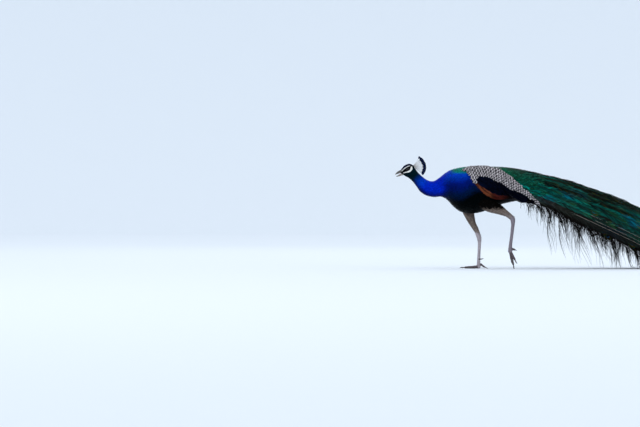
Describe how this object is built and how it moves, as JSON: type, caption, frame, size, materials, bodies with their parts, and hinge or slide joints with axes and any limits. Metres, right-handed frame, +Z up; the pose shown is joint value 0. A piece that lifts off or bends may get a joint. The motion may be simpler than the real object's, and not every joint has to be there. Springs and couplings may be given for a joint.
{
  "type": "peacock",
  "caption": "Male Indian peafowl walking, a life-size still model with the neck stretched forward, one foot planted, the other trailing, and its long train laid to the floor.",
  "frame": {"origin": "centre of the sole of the planted right foot, on the floor", "axes": "-X towards the head, +X along the train, -Y towards the bird's left side, +Z up"},
  "size_m": [1.9126, 0.456, 0.5315],
  "materials": {
    "plumage_neck": "glossy cobalt blue feathers",
    "plumage_breast": "dark blue-green feathers",
    "plumage_mantle": "glossy green scale feathers",
    "plumage_train": "glossy dark green and bronze feathers with blue eyes",
    "plumage_pied": "buff feathers with black bars",
    "plumage_wing": "blue-black feathers",
    "plumage_chestnut": "chestnut flight feathers",
    "plumage_tail": "grey-brown feathers",
    "plumage_fringe": "loose dark barbs",
    "plumage_shank": "short buff feathers",
    "crest": "bare shafts with dark blue tips",
    "skin": "matt skin under the feathers",
    "face": "bare white skin",
    "leg_skin": "scaled grey skin",
    "horn": "satin dark horn",
    "bill": "satin grey horn",
    "tongue": "moist pink skin",
    "eye": "wet glossy dark brown"
  },
  "bodies": {
    "root": {"head": "plumage_neck", "neck_upper": "plumage_neck", "neck_lower": "plumage_neck", "trunk": "plumage_breast", "rump": "plumage_tail", "tail": "plumage_tail", "train_saddle": "plumage_mantle", "train_middle": "plumage_train", "train_left": "plumage_train", "train_right": "plumage_train", "crest": "crest", "eye_left": "eye", "eye_right": "eye", "bill_upper": "bill", "bill_lower": "bill", "tongue": "tongue", "fringe_left": "plumage_fringe", "fringe_right": "plumage_fringe", "wing_left_scapulars": "plumage_pied", "wing_left_coverts": "plumage_wing", "wing_left_primaries": "plumage_chestnut", "shank_left": "plumage_shank", "tarsus_left": "leg_skin", "toe_left_middle": "leg_skin", "toe_left_inner": "leg_skin", "toe_left_outer": "leg_skin", "toe_left_hind": "leg_skin", "spur_left": "horn", "claw_left_middle": "horn", "claw_left_inner": "horn", "claw_left_outer": "horn", "claw_left_hind": "horn", "wing_right_scapulars": "plumage_pied", "wing_right_coverts": "plumage_wing", "wing_right_primaries": "plumage_chestnut", "shank_right": "plumage_shank", "tarsus_right": "leg_skin", "toe_right_middle": "leg_skin", "toe_right_inner": "leg_skin", "toe_right_outer": "leg_skin", "toe_right_hind": "leg_skin", "spur_right": "horn", "claw_right_middle": "horn", "claw_right_inner": "horn", "claw_right_outer": "horn", "claw_right_hind": "horn"}
  },
  "joints": []
}
